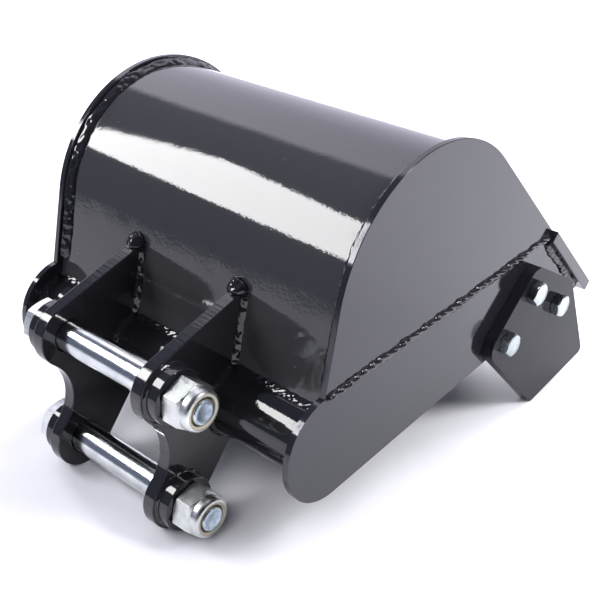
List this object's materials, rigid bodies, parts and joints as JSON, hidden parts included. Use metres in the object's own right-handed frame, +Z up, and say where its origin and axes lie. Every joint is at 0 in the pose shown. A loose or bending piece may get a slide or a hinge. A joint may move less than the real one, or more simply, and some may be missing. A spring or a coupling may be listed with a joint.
{
  "type": "excavator bucket",
  "caption": "Mini excavator digging bucket with rolled shell, side plates, torque tube, pin ears, cutting edge, bolt-on side cutters and removable bucket pins.",
  "frame": {"origin": "on the floor under the middle of the bucket's box", "axes": "+Y from the ears towards the cutting edge, +Z up with the bucket lying mouth down, +X to the driver's right, along the bucket pins"},
  "size_m": [0.3358, 0.4386, 0.2734],
  "materials": {
    "black_gloss_paint": "high gloss black enamel over welded steel",
    "zinc_plate": "bright zinc plate",
    "bright_chrome": "ground and plated steel shaft",
    "nylon": "natural nylon"
  },
  "bodies": {
    "root": {"rolled_shell": "black_gloss_paint", "torque_tube": "black_gloss_paint", "cutting_edge": "black_gloss_paint", "upper_side_plate_right": "black_gloss_paint", "lower_side_plate_right": "black_gloss_paint", "ear_right": "black_gloss_paint", "upper_boss_right": "black_gloss_paint", "lower_boss_right": "black_gloss_paint", "side_cutter_right": "black_gloss_paint", "upper_side_plate_left": "black_gloss_paint", "lower_side_plate_left": "black_gloss_paint", "ear_left": "black_gloss_paint", "upper_boss_left": "black_gloss_paint", "lower_boss_left": "black_gloss_paint", "side_cutter_left": "black_gloss_paint", "cutter_bolt_right_1": "zinc_plate", "cutter_washer_right_1": "zinc_plate", "cutter_nut_right_1": "zinc_plate", "cutter_bolt_right_2": "zinc_plate", "cutter_washer_right_2": "zinc_plate", "cutter_nut_right_2": "zinc_plate", "cutter_bolt_right_3": "zinc_plate", "cutter_washer_right_3": "zinc_plate", "cutter_nut_right_3": "zinc_plate", "cutter_bolt_left_1": "zinc_plate", "cutter_washer_left_1": "zinc_plate", "cutter_nut_left_1": "zinc_plate", "cutter_bolt_left_2": "zinc_plate", "cutter_washer_left_2": "zinc_plate", "cutter_nut_left_2": "zinc_plate", "cutter_bolt_left_3": "zinc_plate", "cutter_washer_left_3": "zinc_plate", "cutter_nut_left_3": "zinc_plate"},
    "upper_pin": {"upper_pin": "bright_chrome"},
    "lower_pin": {"lower_pin": "bright_chrome"},
    "upper_nut": {"upper_lock_nut": "zinc_plate", "upper_nylon_ring": "nylon"},
    "lower_nut": {"lower_lock_nut": "zinc_plate", "lower_nylon_ring": "nylon"}
  },
  "joints": [
    {"name": "upper_pin_turn", "type": "hinge", "parent": "root", "child": "upper_pin", "pos_m": [0, -0.1943, 0.11782], "axis": [1, 0, 0], "continuous": true},
    {"name": "lower_pin_turn", "type": "hinge", "parent": "root", "child": "lower_pin", "pos_m": [0, -0.18962, 0.025], "axis": [1, 0, 0], "continuous": true},
    {"name": "upper_nut_off", "type": "slide", "parent": "upper_pin", "child": "upper_nut", "axis": [1, 0, 0], "range_m": [0, 0.03]},
    {"name": "lower_nut_off", "type": "slide", "parent": "lower_pin", "child": "lower_nut", "axis": [1, 0, 0], "range_m": [0, 0.03]}
  ]
}
